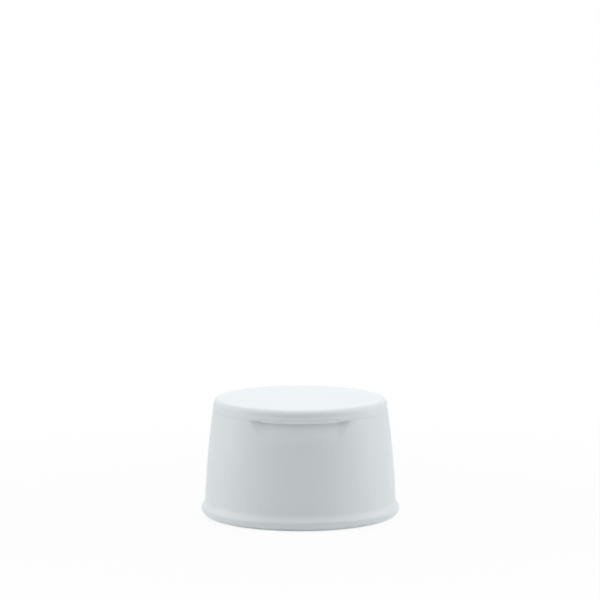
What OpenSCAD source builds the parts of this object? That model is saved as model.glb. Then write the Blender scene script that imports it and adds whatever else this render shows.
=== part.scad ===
// Flip top dispensing cap: a tapered skirt with a rounded foot, a screw socket for a bottle
// neck, a small pouring spout and a low lid on a living hinge at the back.
// The origin is at the centre of the base, +Z is up, and the thumb recess faces -Y.

/* [Outside] */
// Height of the closed cap
cap_h = 22.8; // [21.8:0.1:24.8]
// Diameter over the rounded foot
foot_d = 38.0; // [37.8:0.1:40]
// Width of the foot's rounded underside, from its widest line to the ring that it stands on
foot_under_w = 2.2; // [1.8:0.1:2.4]
// Width of the flat ring that the foot stands on
foot_stand_w = 0.6; // [0.5:0.1:0.9]
// Height of the foot's widest line
foot_widest_z = 1.65; // [1.4:0.05:1.9]
// Radius of the foot's edge above its widest line
foot_edge_r = 0.7; // [0.5:0.05:0.9]
// Height at which the foot's slanted flank meets the wall
foot_h = 2.9; // [2.7:0.1:3.3]
// How far the foot stands out from the wall above it
foot_out = 0.67; // [0.5:0.01:0.8]
// How far the wall leans in from the foot to the rounded top edge
wall_lean = 1.71; // [1.4:0.01:1.9]
// How far the wall bulges out at half its height, over a straight line
wall_bulge = 0.25; // [0:0.01:0.35]
// Radius of the lid's top edge
edge_r = 1.0; // [0.6:0.1:1.3]

/* [Lid] */
// Height of the lid's side, from the seam to the top
lid_h = 2.2; // [2.1:0.05:2.5]
// Thickness of the lid's top plate
lid_plate_t = 1.2; // [0.9:0.05:1.3]
// Thickness of the lid's side wall at the rounded top edge
lid_wall_t = 1.2; // [1.15:0.05:1.4]
// Gap between the lid and the rim that it closes on
seam_gap = 0.05; // [0.02:0.01:0.1]
// Small chamfer on both edges of the seam
seam_chamfer = 0.1; // [0.05:0.01:0.15]

/* [Thumb lip] */
// Width of the lip's lower edge
lip_w = 14.2; // [12:0.1:15]
// Width of the lip where its slanted ends meet the wall
lip_top_w = 19.0; // [17.6:0.1:20]
// How far the lip hangs below the seam
lip_drop = 0.4; // [0.2:0.05:0.6]
// How far the lip stands out from the wall
lip_out = 0.32; // [0.2:0.02:0.5]
// Height above the seam at which the lip starts to flare
lip_rise = 0.8; // [0.5:0.05:0.9]
// Gap between the lip's inner face and the recess floor, at the lip's lower edge
lip_gap = 0.3; // [0.2:0.05:0.5]

/* [Thumb recess] */
// Width of the recess floor
recess_w = 14.2; // [12:0.1:15]
// Width of the recess at the seam, over its slanted sides
recess_top_w = 19.2; // [18:0.1:20]
// Depth of the recess at the seam
recess_depth = 0.95; // [0.8:0.05:1.1]
// Depth that is left where the slanted sides end
recess_low_depth = 0.12; // [0.08:0.02:0.2]
// Height of the slanted sides
recess_side_h = 3.0; // [2.4:0.1:3.4]
// Height of the recess over its soft lower end
recess_h = 4.4; // [4.0:0.1:5]

/* [Walls inside] */
// Thickness of the skirt just below the deck
skirt_t = 1.35; // [1.2:0.05:1.6]
// Depth below the seam of the deck's underside, where the bottle's mouth seals
deck_drop = 3.4; // [3.1:0.1:3.7]
// Thickness of the deck
deck_t = 1.3; // [1.0:0.1:1.4]
// Number of ribs between the screw sleeve and the skirt
rib_count = 12; // [8:1:16]
// Thickness of one rib
rib_t = 0.9; // [0.6:0.1:1.2]
// Height of the ribs' lower edges
rib_z = 4.0; // [2:0.5:8]

/* [Collar under the lid] */
// Height of the collar above the seam
collar_rise = 0.75; // [0.5:0.05:0.8]
// Wall of the collar
collar_t = 0.8; // [0.6:0.1:1.1]
// Gap between the collar and the lid's side wall
collar_gap = 0.1; // [0.05:0.01:0.2]
// How far the latch bead stands out on the front of the collar
latch_out = 0.05; // [0.02:0.01:0.06]
// Width of the latch bead
latch_w = 0.4; // [0.3:0.05:0.5]
// Angle over which the latch bead runs
latch_angle = 50; // [30:5:90]

/* [Screw socket] */
// Root diameter of the thread
thread_root_d = 24.3; // [24.0:0.1:24.7]
// Crest diameter of the thread
thread_crest_d = 22.4; // [22.0:0.1:22.8]
// Pitch of the thread
thread_pitch = 3.175; // [2.8:0.005:3.6]
// Turns of the thread
thread_turns = 1.75; // [1.25:0.25:2]
// Depth below the deck of the upper end of the thread's centre line
thread_drop = 3.4; // [3.0:0.1:3.8]
// Width of the thread at its root
thread_root_w = 1.9; // [1.6:0.1:2.2]
// Width of the thread at its crest
thread_crest_w = 0.7; // [0.5:0.1:1]
// Angle over which each end of the thread fades
thread_fade = 40; // [30:5:60]
// Direction in which the thread starts, seen from above
thread_start = 25; // [5:10:85]
// Wall of the screw sleeve
sleeve_t = 1.1; // [0.9:0.1:1.3]
// Height of the sleeve's mouth above the foot
sleeve_z = 1.2; // [0.6:0.1:1.6]
// Diameter of the plain lead-in below the thread
lead_in_d = 25.0; // [24.9:0.1:25.4]
// Length of the plain lead-in
lead_in_h = 2.2; // [1.8:0.1:2.4]
// Outer diameter of the plug ring that seals in the bottle's mouth
seal_d = 17.4; // [16.6:0.1:18.2]
// Wall of the plug ring
seal_t = 0.8; // [0.6:0.1:1]
// Length of the plug ring
seal_h = 2.2; // [1.6:0.1:2.6]
// Diameter of the bead that presses on the bottle's rim
land_bead_d = 20.4; // [20:0.1:20.8]
// Radius of that bead
land_bead_r = 0.3; // [0.2:0.05:0.4]

/* [Spout and plug] */
// Diameter of the pouring hole
orifice_d = 3.2; // [2.9:0.1:3.6]
// Outer diameter of the spout at the deck
spout_low_d = 7.2; // [7.0:0.1:7.4]
// Outer diameter of the spout at its lip
spout_high_d = 6.0; // [5.4:0.1:6.4]
// Gap between the spout's lip and the lid's plate
spout_gap = 0.7; // [0.5:0.05:0.9]
// Rounding of the spout's lip
spout_edge_r = 0.35; // [0.2:0.05:0.45]
// Radial gap between the plug's root and the pouring hole
plug_gap = 0.2; // [0.15:0.05:0.3]
// Diameter of the plug at its tip
plug_tip_d = 2.3; // [2:0.1:2.4]
// Length of the plug that stands in the spout
plug_reach = 1.9; // [1.4:0.1:2]
// Bore of the hollow plug
plug_bore_d = 1.1; // [0.8:0.1:1.2]
// Inner diameter of the ring around the spout, on the lid
ring_inner_d = 7.8; // [7.8:0.1:8.4]
// Wall of that ring
ring_t = 0.8; // [0.6:0.1:1]
// Gap between that ring and the deck
ring_gap = 0.7; // [0.5:0.1:1]

/* [Hinge] */
// How far the hinge pads stand out from the wall at the seam
pad_out = 0.44; // [0.34:0.02:0.64]
// Width over both hinge pads
pad_w = 13.2; // [12:0.1:14]
// Height of the slot between the base's pad and the lid's pad
pad_slot = 0.6; // [0.5:0.02:0.7]
// Height of the flat face of the base's pad
base_pad_h = 1.6; // [1.2:0.1:2]
// Height of the sloped lower side of the base's pad
base_pad_slope_h = 1.8; // [1.4:0.1:2.4]
// Height of the flat face of the lid's pad
lid_pad_h = 0.7; // [0.6:0.05:0.8]
// Thickness of a hinge film
film_t = 0.3; // [0.2:0.02:0.4]
// Width of one hinge film
film_w = 3.6; // [3:0.1:3.8]
// Width of the strap between the films
strap_w = 4.0; // [3.6:0.1:4.4]
// Thickness of the strap
strap_t = 0.45; // [0.4:0.05:0.6]
// Gap between the strap and the notch around it, on three sides
strap_gap = 0.4; // [0.3:0.05:0.45]
// Depth of the strap's notch below the seam
strap_down = 2.6; // [2:0.1:3]
// Height of the strap's notch above the seam
strap_up = 0.9; // [0.8:0.05:0.95]

/* [Hidden] */
$fn = 96;
sink = 0.2;
arc_steps = 8;
wall_steps = 10;
thread_steps = 36;
thread_passes = floor(thread_turns) + 1;
reach = cap_h;
seam_z = cap_h - lid_h;
shoulder_z = cap_h - edge_r;
wall_low_r = foot_d / 2 - foot_out;
wall_high_r = wall_low_r - wall_lean;
foot_stand_r = foot_d / 2 - foot_under_w;
wall_h = shoulder_z - foot_h;
wall_angle = atan((wall_lean + 4 * wall_bulge) / wall_h);
edge_z = shoulder_z + edge_r * sin(wall_angle);
edge_centre_r = wall_r(edge_z) - edge_r * cos(wall_angle);
ceiling_z = cap_h - lid_plate_t;
lid_inner_r = wall_high_r - lid_wall_t;
collar_r = lid_inner_r - collar_gap;
collar_inner_r = collar_r - collar_t;
collar_z = seam_z + collar_rise;
deck_z = seam_z - deck_drop;
deck_top_z = deck_z + deck_t;
skirt_inner_low_r = foot_stand_r - foot_stand_w;
skirt_inner_high_r = wall_r(deck_z) - skirt_t;
sleeve_r = thread_root_d / 2 + sleeve_t;
thread_z = deck_z - thread_drop - thread_turns * thread_pitch;
spout_z = ceiling_z - spout_gap;
plug_root_r = orifice_d / 2 - plug_gap;
plug_z = spout_z - plug_reach;
pad_y = wall_r(seam_z) + pad_out;
slot_low_z = seam_z - pad_slot / 2;
slot_high_z = seam_z + pad_slot / 2;
film_x = strap_w / 2 + strap_gap + film_w / 2;
notch_w = strap_w + 2 * strap_gap;
strap_low_z = seam_z - strap_down;
strap_high_z = seam_z + strap_up;
strap_y = wall_r(strap_high_z) - strap_t;
notch_y = strap_y - strap_gap;
recess_r = wall_r(seam_z) - recess_depth;
recess_low_z = seam_z - recess_side_h;
recess_low_r = wall_r(recess_low_z) - recess_low_depth;
recess_end_z = seam_z - recess_h;
recess_bend_z = (recess_low_z + recess_end_z) / 2;
lip_inner_r = recess_r + (recess_low_r - recess_r) * lip_drop / recess_side_h + lip_gap;

// Outer radius of the tapered, slightly bulging wall at a height
function wall_r(z) =
    let (t = (z - foot_h) / wall_h)
    wall_low_r - wall_lean * t + 4 * wall_bulge * t * (1 - t);

// Points of an arc in the profile plane, from one angle to another
function arc(centre, rx, ry, from, to, steps = arc_steps) = [
    for (i = [0:steps])
        let (a = from + (to - from) * i / steps)
            [centre.x + rx * cos(a), centre.y + ry * sin(a)]
];

// Point of a quadratic curve between two points, drawn towards a third
function bend(p, pull, q, t) = (1 - t) * (1 - t) * p + 2 * t * (1 - t) * pull + t * t * q;

// Distance from the cap's middle plane at which a circle reaches a width
function chord_y(r, x) = sqrt(r * r - x * x);

// Outline of the foot, from the stand ring over its edge and flank up to the wall
foot_edge_centre = [foot_d / 2 - foot_edge_r, foot_widest_z];
flank = [wall_low_r, foot_h] - foot_edge_centre;
flank_angle = atan2(flank.y, flank.x) - acos(foot_edge_r / norm(flank));
foot_points = concat(
    arc([foot_stand_r, foot_widest_z], foot_under_w, foot_widest_z, -90, 0),
    arc(foot_edge_centre, foot_edge_r, foot_edge_r, 0, flank_angle)
);

// Outline of the bulging wall, from the foot up to the rim
wall_points = [
    for (i = [0:wall_steps - 1])
        let (z = foot_h + (seam_z - foot_h) * i / wall_steps)
            [wall_r(z), z]
];

// Outline of the rim on which the lid closes, and of the collar inside it
rim_points = [
    [wall_r(seam_z - seam_chamfer), seam_z - seam_chamfer],
    [wall_r(seam_z) - seam_chamfer, seam_z],
    [collar_r, seam_z],
    [collar_r, collar_z - seam_chamfer],
    [collar_r - seam_chamfer, collar_z],
    [collar_inner_r + seam_chamfer, collar_z],
    [collar_inner_r, collar_z - seam_chamfer],
    [collar_inner_r, deck_top_z]
];

// Outline of the spout, from the deck over its lip and down the pouring hole
spout_points = concat(
    [[spout_low_d / 2, deck_top_z]],
    arc(
        [spout_high_d / 2 - spout_edge_r, spout_z - spout_edge_r],
        spout_edge_r,
        spout_edge_r,
        0,
        90
    ),
    [
        [orifice_d / 2, spout_z],
        [orifice_d / 2, deck_z]
    ]
);

// Outline of the plug ring that seals in the bottle's mouth
seal_points = [
    [seal_d / 2 - seal_t, deck_z],
    [seal_d / 2 - seal_t, deck_z - seal_h],
    [seal_d / 2 - seal_t / 2, deck_z - seal_h],
    [seal_d / 2, deck_z - seal_h + seal_t / 2],
    [seal_d / 2, deck_z]
];

// Skirt, rim, collar, deck and spout as one turned wall
module shell() {
    rotate_extrude()
        polygon(concat(
            foot_points,
            wall_points,
            rim_points,
            spout_points,
            seal_points,
            arc([land_bead_d / 2, deck_z], land_bead_r, land_bead_r, 180, 360),
            [
                [skirt_inner_high_r, deck_z],
                [skirt_inner_low_r, 0]
            ]
        ));
}

// Share of the thread's full height at an angle along it
function thread_share(a) =
    max(0, min(1, a / thread_fade, (360 * thread_turns - a) / thread_fade));

// Corners of the thread's section where it passes a direction, for one of its turns
function thread_pass(turn, a) =
    let (
        along = 360 * turn + a,
        root_r = thread_root_d / 2,
        crest_r = root_r - thread_share(along) * (root_r - thread_crest_d / 2),
        z = thread_z + thread_pitch * along / 360,
        root = thread_root_w / 2,
        crest = thread_crest_w / 2
    )
    [[root_r, z - root], [crest_r, z - crest], [crest_r, z + crest], [root_r, z + root]];

// Upright line of points down the threaded bore in one direction
function bore_column(a, low_z, high_z) =
    let (
        root_r = thread_root_d / 2,
        line = concat(
            [[root_r, low_z]],
            [for (turn = [0:thread_passes - 1]) each thread_pass(turn, a)],
            [[root_r, high_z]]
        )
    )
    [for (p = line) [p[0] * cos(a + thread_start), p[0] * sin(a + thread_start), p[1]]];

// The space inside the threaded sleeve: a bore with a helical groove left standing in it
module threaded_bore(low_z, high_z) {
    n = thread_steps;
    corners = len(thread_pass(0, 0));
    rows = corners * thread_passes + 2;
    last = rows * (n - 1);
    points = [for (i = [0:n - 1]) each bore_column(360 * i / n, low_z, high_z)];
    walls = [
        for (i = [0:n - 2])
            for (j = [0:rows - 2])
                let (p = rows * i + j, q = p + rows)
                    each [[p, p + 1, q + 1], [p, q + 1, q]]
    ];
    closing = [
        for (j = [1:rows - corners - 3])
            let (p = last + j, q = j + corners)
                each [[p, p + 1, q + 1], [p, q + 1, q]]
    ];
    closing_low = concat([last + 1], [for (j = [corners + 1:-1:0]) j], [last]);
    closing_high = concat(
        [rows - 2],
        [for (j = [corners + 2:-1:1]) last + rows - j],
        [rows - 1]
    );
    floor_face = [for (i = [0:n - 1]) rows * i];
    roof_face = [for (i = [n - 1:-1:0]) rows * i + rows - 1];
    polyhedron(
        points = points,
        faces = concat(walls, closing, [closing_low, closing_high, floor_face, roof_face]),
        convexity = 8
    );
}

// Screw sleeve with its plain lead-in and its thread
module sleeve() {
    lead_in_z = sleeve_z + lead_in_h;
    blank_r = thread_crest_d / 2 - sink;
    difference() {
        rotate_extrude()
            polygon([
                [lead_in_d / 2, sleeve_z],
                [sleeve_r, sleeve_z],
                [sleeve_r, deck_z + sink],
                [blank_r, deck_z + sink],
                [blank_r, lead_in_z],
                [lead_in_d / 2, lead_in_z]
            ]);
        threaded_bore(lead_in_z - sink, deck_z + 2 * sink);
    }
}

// Radial ribs that stiffen the skirt against the sleeve
module ribs() {
    for (i = [0:rib_count - 1])
        rotate([0, 0, 360 * (i + 0.5) / rib_count])
            rotate([90, 0, 0])
                linear_extrude(height = rib_t, center = true)
                    polygon([
                        [sleeve_r - sleeve_t / 2, rib_z],
                        [skirt_inner_low_r + sink, rib_z],
                        [skirt_inner_high_r + sink, deck_z + sink],
                        [sleeve_r - sleeve_t / 2, deck_z + sink]
                    ]);
}

// Solid that is taken out of the wall for the recess floor
module recess_floor() {
    floor_points = [
        for (i = [0:arc_steps])
            bend(
                [recess_low_r, recess_low_z],
                [wall_r(recess_bend_z) - recess_low_depth / 4, recess_bend_z],
                [wall_r(recess_end_z) + seam_gap, recess_end_z],
                i / arc_steps
            )
    ];
    intersection() {
        rotate_extrude()
            polygon(concat(
                [
                    [foot_d, seam_z + sink],
                    [recess_r, seam_z + sink],
                    [recess_r, seam_z]
                ],
                floor_points,
                [[foot_d, recess_end_z]]
            ));
        translate([-recess_w / 2, -foot_d, 0])
            cube([recess_w, foot_d, cap_h]);
    }
}

// One slanted side of the recess
module recess_side() {
    x = recess_w / 2;
    top_x = recess_top_w / 2;
    inner = [x, -chord_y(recess_r, x), seam_z];
    outer = [top_x, -chord_y(wall_r(seam_z), top_x), seam_z];
    slope = (inner - [x, -chord_y(recess_low_r, x), recess_low_z]) / recess_side_h;
    run_out_h = recess_side_h * recess_depth / (recess_depth - recess_low_depth) + sink;
    beyond = inner + 2 * (outer - inner);
    rise = slope * lid_h;
    front = [0, -foot_d / 4, 0];
    back = [inner - slope * run_out_h, beyond, beyond + rise, inner + rise];
    polyhedron(
        points = concat(back, [for (p = back) p + front]),
        faces = [
            [0, 1, 2, 3],
            [7, 6, 5, 4],
            [0, 4, 5, 1],
            [1, 5, 6, 2],
            [2, 6, 7, 3],
            [3, 7, 4, 0]
        ]
    );
}

// Hinge pad as a bar across the back, from its side outline
module pad(points) {
    translate([-pad_w / 2, 0, 0])
        rotate([90, 0, 90])
            linear_extrude(height = pad_w)
                polygon(points);
}

// Notch in which the strap lies
module strap_notch(low_z, high_z) {
    translate([-notch_w / 2, notch_y, low_z])
        cube([notch_w, foot_d / 4, high_z - low_z]);
}

module base() {
    pad_low_z = slot_low_z - base_pad_h;
    pad_end_z = pad_low_z - base_pad_slope_h;
    color("white")
        difference() {
            union() {
                shell();
                sleeve();
                ribs();
                latch_bead();
                pad([
                    [collar_r, slot_low_z],
                    [pad_y, slot_low_z],
                    [pad_y, pad_low_z],
                    [chord_y(wall_r(pad_end_z), pad_w / 2) - sink, pad_end_z],
                    [collar_r - sink, pad_end_z]
                ]);
            }
            recess_floor();
            recess_side();
            mirror([1, 0, 0])
                recess_side();
            strap_notch(strap_low_z, seam_z + sink);
        }
}

// Low bead on the front of the collar, which clicks under the lid's wall
module latch_bead() {
    latch_z = seam_z + collar_rise / 2;
    rotate([0, 0, -90 - latch_angle / 2])
        rotate_extrude(angle = latch_angle)
            polygon([
                [collar_r - sink, latch_z - latch_w / 2],
                [collar_r, latch_z - latch_w / 2],
                [collar_r + latch_out, latch_z],
                [collar_r, latch_z + latch_w / 2],
                [collar_r - sink, latch_z + latch_w / 2]
            ]);
}

// Thumb lip: the flared lower edge of the lid's front
module lip() {
    low_z = seam_z - lip_drop;
    start_z = seam_z + lip_rise;
    out_r = wall_r(low_z) + lip_out;
    round_r = seam_chamfer;
    intersection() {
        rotate_extrude()
            polygon([
                [wall_r(start_z) - sink, start_z],
                [wall_r(start_z), start_z],
                [out_r, low_z + round_r],
                [out_r - round_r, low_z],
                [lip_inner_r, low_z],
                [lip_inner_r, seam_z + sink]
            ]);
        rotate([90, 0, 0])
            linear_extrude(height = foot_d)
                polygon([
                    [-lip_w / 2, low_z],
                    [lip_w / 2, low_z],
                    [lip_top_w / 2, start_z],
                    [-lip_top_w / 2, start_z]
                ]);
    }
}

// Lid's plate and side wall
module lid_shell() {
    low_z = seam_z + seam_gap;
    rotate_extrude()
        polygon(concat(
            [
                [0, ceiling_z],
                [lid_inner_r, ceiling_z],
                [lid_inner_r, low_z],
                [wall_r(low_z) - seam_chamfer, low_z],
                [wall_r(low_z + seam_chamfer), low_z + seam_chamfer]
            ],
            arc([edge_centre_r, shoulder_z], edge_r, edge_r, wall_angle, 90),
            [[0, cap_h]]
        ));
}

// Hollow plug for the pouring hole, and the ring around the spout
module plug_and_ring() {
    ring_r = ring_inner_d / 2;
    rotate_extrude() {
        polygon([
            [plug_bore_d / 2, ceiling_z + sink],
            [plug_root_r, ceiling_z + sink],
            [plug_root_r, spout_z],
            [plug_tip_d / 2, plug_z],
            [plug_bore_d / 2, plug_z]
        ]);
        translate([ring_r, deck_top_z + ring_gap])
            square([ring_t, ceiling_z + sink - deck_top_z - ring_gap]);
    }
}

module lid() {
    pad_high_z = slot_high_z + lid_pad_h;
    color("white")
        difference() {
            union() {
                lid_shell();
                plug_and_ring();
                lip();
                pad([
                    [lid_inner_r, slot_high_z],
                    [pad_y, slot_high_z],
                    [pad_y, pad_high_z],
                    [edge_centre_r, pad_high_z + (pad_y - edge_centre_r) / 2],
                    [lid_inner_r, ceiling_z]
                ]);
            }
            strap_notch(seam_z - sink, strap_high_z);
        }
}

// One film of the living hinge, folded round as it lies in the closed cap
module hinge_film(x) {
    inner_r = pad_slot / 2;
    color("white")
        translate([x - film_w / 2, pad_y, seam_z])
            rotate([90, 0, 90])
                linear_extrude(height = film_w)
                    intersection() {
                        difference() {
                            circle(r = inner_r + film_t);
                            circle(r = inner_r);
                        }
                        translate([0, -reach / 2])
                            square(reach);
                    }
}

module left_hinge_film() {
    hinge_film(-film_x);
}

module right_hinge_film() {
    hinge_film(film_x);
}

// Strap between the films, which snaps the lid open and shut
module hinge_strap() {
    color("white")
        translate([-strap_w / 2, strap_y, strap_low_z])
            cube([strap_w, strap_t, strap_high_z - strap_low_z]);
}

base();
lid();
left_hinge_film();
right_hinge_film();
hinge_strap();
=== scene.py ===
import logging
import math
from dataclasses import dataclass, field
from enum import Enum
from typing import Sequence, Union

import bpy
import numpy as np
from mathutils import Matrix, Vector


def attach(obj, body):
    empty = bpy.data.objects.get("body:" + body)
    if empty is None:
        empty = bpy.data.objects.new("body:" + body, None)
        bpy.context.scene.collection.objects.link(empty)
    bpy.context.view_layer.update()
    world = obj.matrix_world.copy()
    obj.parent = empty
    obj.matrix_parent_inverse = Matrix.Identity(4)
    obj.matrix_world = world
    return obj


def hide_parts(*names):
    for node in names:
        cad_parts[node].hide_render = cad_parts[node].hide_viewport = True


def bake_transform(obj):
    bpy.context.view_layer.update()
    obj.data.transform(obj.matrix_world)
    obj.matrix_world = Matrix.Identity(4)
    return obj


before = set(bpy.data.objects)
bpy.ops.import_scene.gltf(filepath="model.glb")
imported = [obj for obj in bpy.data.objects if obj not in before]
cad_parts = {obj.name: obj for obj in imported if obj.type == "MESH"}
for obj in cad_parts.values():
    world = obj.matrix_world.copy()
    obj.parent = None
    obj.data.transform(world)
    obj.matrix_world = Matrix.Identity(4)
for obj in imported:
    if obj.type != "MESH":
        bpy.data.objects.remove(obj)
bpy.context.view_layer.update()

MM = 0.001
BASE_BODY = "cap_base"
LID_BODY = "flip_lid"

log = logging.getLogger("flip_top_cap")

Socket = bpy.types.NodeSocket
Value = Union[float, Socket]


# ---------------------------------------------------------------- curves and meshes


def arc_points(
    centre: tuple[float, float],
    radii: tuple[float, float],
    start_deg: float,
    end_deg: float,
    steps: int,
) -> list[tuple[float, float]]:
    """Points of an arc in the outline plane.

    Args:
        centre: Radius and height of the arc's centre, in millimetres.
        radii: The arc's half widths along the radius and along the height.
        start_deg: Angle of the first point.
        end_deg: Angle of the last point.
        steps: Number of stretches between the first point and the last.

    Returns:
        The points as pairs of radius and height.
    """
    angles = np.radians(np.linspace(start_deg, end_deg, steps + 1))
    return [
        (centre[0] + radii[0] * math.cos(a), centre[1] + radii[1] * math.sin(a)) for a in angles
    ]


def bent_points(
    start: np.ndarray, corner: np.ndarray, end: np.ndarray, steps: int
) -> list[tuple[float, float]]:
    """Points of a soft bend that takes the place of a corner in the outline plane.

    Args:
        start: Point at which the bend leaves the first side.
        corner: The corner that the bend is drawn towards.
        end: Point at which the bend meets the second side.
        steps: Number of stretches between start and end.

    Returns:
        The points as pairs of radius and height.
    """
    t = np.linspace(0.0, 1.0, steps + 1)[:, None]
    curve = (1.0 - t) ** 2 * start + 2.0 * t * (1.0 - t) * corner + t**2 * end
    return [(float(r), float(z)) for r, z in curve]


def soft_min(a: np.ndarray, b: np.ndarray, blend: float) -> np.ndarray:
    """The lower of two surfaces, rounded where they cross.

    Args:
        a: The first surface.
        b: The second surface.
        blend: Width over which the crossing is rounded.

    Returns:
        The rounded lower surface.
    """
    share = np.clip(0.5 + 0.5 * (b - a) / blend, 0.0, 1.0)
    return b * (1.0 - share) + a * share - blend * share * (1.0 - share)


def soft_max(a: np.ndarray, b: np.ndarray, blend: float) -> np.ndarray:
    """The higher of two surfaces, rounded where they cross."""
    return -soft_min(-a, -b, blend)


def ease(t: np.ndarray) -> np.ndarray:
    """A smooth step from 0 to 1 as t goes from 0 to 1."""
    t = np.clip(t, 0.0, 1.0)
    return t * t * (3.0 - 2.0 * t)


def spaced(start: float, end: float, step: float) -> np.ndarray:
    """Evenly spaced values from start to end, no further apart than step."""
    return np.linspace(start, end, max(2, int(math.ceil(abs(end - start) / step)) + 1))


def signed_volume(mesh: bpy.types.Mesh) -> float:
    """Volume inside a closed mesh, which is negative where it is inside out."""
    mesh.calc_loop_triangles()
    count = len(mesh.loop_triangles)
    corners = np.empty(count * 3, np.int32)
    mesh.loop_triangles.foreach_get("vertices", corners)
    points = np.empty(len(mesh.vertices) * 3, np.float32)
    mesh.vertices.foreach_get("co", points)
    a, b, c = points.reshape(-1, 3).astype(float)[corners.reshape(-1, 3)].transpose(1, 0, 2)
    return float(np.einsum("ij,ij->i", a, np.cross(b, c)).sum() / 6.0)


def finish_mesh(mesh: bpy.types.Mesh, sharp_deg: float) -> None:
    """Turns a closed mesh outwards and shades it smooth up to an angle.

    Args:
        mesh: The closed mesh.
        sharp_deg: Edges that turn by more than this angle stay sharp.
    """
    if signed_volume(mesh) < 0.0:
        mesh.flip_normals()
    mesh.shade_smooth()
    mesh.set_sharp_from_angle(angle=math.radians(sharp_deg))


def turned_mesh(
    name: str, angles: np.ndarray, radii: np.ndarray, heights: np.ndarray, loop: bool
) -> bpy.types.Mesh:
    """Mesh of a turned wall whose radius may change round the axis.

    Args:
        name: Name of the mesh.
        angles: Directions of the columns, in radians.
        radii: Radius of each row in each column, in millimetres.
        heights: Height of each row in each column, in millimetres.
        loop: True where the last row joins the first, False where both lie on the axis.

    Returns:
        The mesh, in metres and closed.
    """
    columns, rows = radii.shape
    x = radii * np.cos(angles)[:, None]
    y = radii * np.sin(angles)[:, None]
    grid = np.stack([x, y, heights], axis=2) * MM
    if loop:
        verts = grid.reshape(-1, 3)
        i, j = np.meshgrid(np.arange(columns), np.arange(rows), indexing="ij")
        k, m = (i + 1) % columns, (j + 1) % rows
        quads = np.stack([i * rows + j, k * rows + j, k * rows + m, i * rows + m], axis=2)
        faces = quads.reshape(-1, 4).tolist()
    else:
        inner = rows - 2
        verts = np.concatenate([grid[:, 1:-1].reshape(-1, 3), grid[:1, 0], grid[:1, -1]])
        low, high = columns * inner, columns * inner + 1
        i, j = np.meshgrid(np.arange(columns), np.arange(inner - 1), indexing="ij")
        k = (i + 1) % columns
        quads = np.stack(
            [i * inner + j, k * inner + j, k * inner + j + 1, i * inner + j + 1], axis=2
        )
        faces = quads.reshape(-1, 4).tolist()
        for a in range(columns):
            b = (a + 1) % columns
            faces.append([low, b * inner, a * inner])
            faces.append([high, a * inner + inner - 1, b * inner + inner - 1])
    mesh = bpy.data.meshes.new(name)
    mesh.from_pydata(verts.tolist(), [], faces)
    mesh.update()
    return mesh


def add_piece(mesh: bpy.types.Mesh, material: bpy.types.Material) -> bpy.types.Object:
    """Puts a mesh in the scene as a piece with one material."""
    piece = bpy.data.objects.new(mesh.name, mesh)
    bpy.context.scene.collection.objects.link(piece)
    mesh.materials.clear()
    mesh.materials.append(material)
    return piece


# ---------------------------------------------------------------- geometry node trees


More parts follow.
